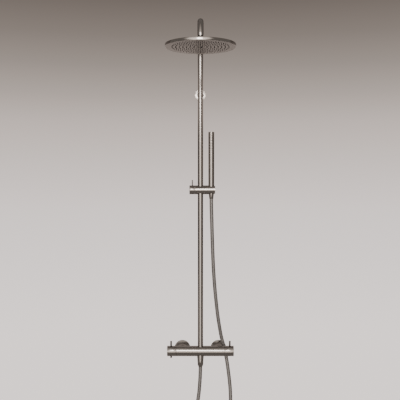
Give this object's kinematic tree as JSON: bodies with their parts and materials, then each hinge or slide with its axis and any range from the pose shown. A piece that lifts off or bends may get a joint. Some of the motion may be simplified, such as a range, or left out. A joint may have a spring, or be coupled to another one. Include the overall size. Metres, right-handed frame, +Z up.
{
  "type": "rainfall shower column",
  "caption": "Wall-mounted shower column with a thermostatic bar valve, riser and gooseneck arm, round rain head, sliding holder, stick handset and hose.",
  "frame": {"origin": "midway between the two water inlets, in the plane of the finished wall", "axes": "+Z up along the riser, +Y into the wall, +X to the right as seen from the room"},
  "size_m": [0.272, 0.666, 1.6565],
  "materials": {
    "brushed_metal": "fine brushed gunmetal plating over brass, satin",
    "plate_metal": "finely brushed steel sheet in the same gunmetal colour",
    "dark_metal": "dark gunmetal plating",
    "brass": "machined, unplated",
    "steel": "machined stainless steel",
    "white_plastic": "moulded acetal",
    "grey_plastic": "moulded plastic",
    "black_rubber": "matt rubber",
    "nozzle_silicone": "soft dark grey silicone",
    "hose_skin": "smooth satin metallic grey hose"
  },
  "bodies": {
    "column": {"valve_body": "brushed_metal", "thermostatic_cartridge": "brass", "thermostat_nut": "brass", "diverter_cartridge": "white_plastic", "ceramic_disc_fixed": "white_plastic", "diverter_nut": "brass", "inlet_tails": "brass", "check_valves": "grey_plastic", "union_nuts": "brushed_metal", "union_washers": "black_rubber", "wall_union_left": "brass", "wall_union_right": "brass", "wall_flange_left": "brushed_metal", "wall_flange_right": "brushed_metal", "riser_tube": "brushed_metal", "riser_seal": "black_rubber", "joining_sleeve": "brass", "shower_arm": "brushed_metal", "bracket_flange": "brushed_metal", "bracket_base": "steel", "bracket_rod": "brushed_metal", "bracket_screw": "steel", "bracket_grub_screw": "steel", "hanger_bolt": "steel", "hose_outlet": "brushed_metal", "outlet_washer": "black_rubber", "valve_hose_nut": "brushed_metal", "valve_ferrule": "steel", "hose": "hose_skin", "ball_stud": "dark_metal"},
    "temperature": {"temperature_knob": "brushed_metal", "temperature_pin": "brushed_metal", "temperature_stem": "steel", "temperature_screw": "steel"},
    "stop": {"stop_button": "dark_metal"},
    "flow": {"flow_knob": "brushed_metal", "flow_pin": "brushed_metal", "flow_stem": "steel", "flow_screw": "steel", "ceramic_disc_moving": "steel"},
    "slider": {"holder_body": "brushed_metal", "slider_bush": "grey_plastic", "lock_pad": "white_plastic"},
    "lock": {"lock_knob": "brushed_metal", "lock_pin": "brushed_metal", "lock_screw": "steel"},
    "hose_end": {"handset_ferrule": "steel"},
    "handset": {"handset_tube": "brushed_metal", "handset_cap": "brushed_metal", "spray_core": "grey_plastic", "handset_nozzles": "nozzle_silicone", "handset_inlet": "brass", "handset_washer": "black_rubber", "handset_hose_nut": "brushed_metal"},
    "swivel_ring": {"ball_seal": "black_rubber"},
    "head": {"head_hub": "dark_metal", "socket_nut": "dark_metal", "head_shell": "brushed_metal", "face_plate": "plate_metal", "nozzle_mat": "nozzle_silicone"}
  },
  "joints": [
    {"name": "temperature_turn", "type": "hinge", "parent": "column", "child": "temperature", "pos_m": [-0.1205, -0.066, 0], "axis": [1, 0, 0], "range_deg": [-150, 50]},
    {"name": "stop_press", "type": "slide", "parent": "temperature", "child": "stop", "axis": [0, 0, 1], "range_m": [0, 0.002], "stiffness_N_per_m": 1500, "springref_m": -0.002},
    {"name": "flow_turn", "type": "hinge", "parent": "column", "child": "flow", "pos_m": [0.1205, -0.066, 0], "axis": [1, 0, 0], "range_deg": [-90, 90]},
    {"name": "slider_height", "type": "slide", "parent": "column", "child": "slider", "axis": [0, 0, 1], "range_m": [-0.3, 0.3], "deforming": ["hose"]},
    {"name": "lock_turn", "type": "hinge", "parent": "slider", "child": "lock", "pos_m": [-0.034, -0.066, 0.659], "axis": [1, 0, 0], "range_deg": [-90, 90]},
    {"name": "handset_lift", "type": "slide", "parent": "slider", "child": "hose_end", "axis": [0, 0, 1], "range_m": [0, 0.06]},
    {"name": "handset_turn", "type": "hinge", "parent": "hose_end", "child": "handset", "pos_m": [0.0445, -0.066, 0.659], "axis": [0, 0, 1], "continuous": true},
    {"name": "head_swivel", "type": "hinge", "parent": "column", "child": "swivel_ring", "pos_m": [0, -0.506, 1.1765], "axis": [0, 0, 1], "continuous": true},
    {"name": "head_tilt", "type": "hinge", "parent": "swivel_ring", "child": "head", "pos_m": [0, -0.506, 1.1765], "axis": [1, 0, 0], "range_deg": [-15, 15]}
  ]
}
